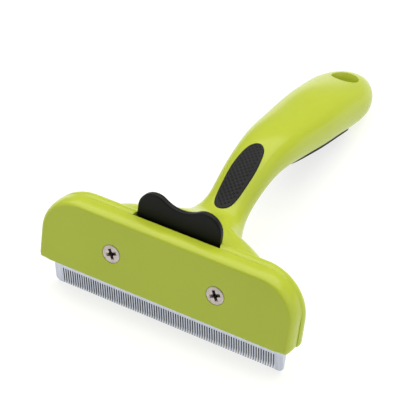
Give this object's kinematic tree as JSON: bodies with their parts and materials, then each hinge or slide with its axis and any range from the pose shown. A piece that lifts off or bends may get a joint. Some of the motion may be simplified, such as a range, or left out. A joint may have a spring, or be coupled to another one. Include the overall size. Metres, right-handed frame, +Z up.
{
  "type": "deshedding tool",
  "caption": "Pet deshedding tool: T-shaped head with a fine steel comb, a sprung thumb button that drives a hair ejector, and a bowed handle with soft grips and a hang hole.",
  "frame": {"origin": "on the table, under the middle of the tool as it lies on its teeth and on the end of its handle", "axes": "+Y from the comb towards the handle's end, +Z up, +X across the head"},
  "size_m": [0.11, 0.1696, 0.0521],
  "materials": {
    "green_shell": "satin",
    "blade_steel": "brushed",
    "screw_nickel": "satin",
    "insert_brass": "satin",
    "spring_wire": "polished",
    "button_plastic": "satin",
    "ejector_plastic": "matte",
    "grip_rubber": "matte"
  },
  "bodies": {
    "tool_body": {"front_cover": "green_shell", "rear_body": "green_shell", "comb_blade": "blade_steel", "return_spring_left": "spring_wire", "return_spring_right": "spring_wire", "cover_screws": "screw_nickel", "screw_inserts": "insert_brass", "thumb_grip": "grip_rubber", "under_grip": "grip_rubber", "handle_core": "ejector_plastic"},
    "ejector": {"ejector_plate": "ejector_plastic", "thumb_button": "button_plastic"}
  },
  "joints": [
    {"name": "button_press", "type": "slide", "parent": "tool_body", "child": "ejector", "axis": [0, -0.2283, -0.9736], "range_m": [0, 0.008], "stiffness_N_per_m": 600, "springref_m": -0.003, "deforming": ["return_spring_left", "return_spring_right"]}
  ]
}
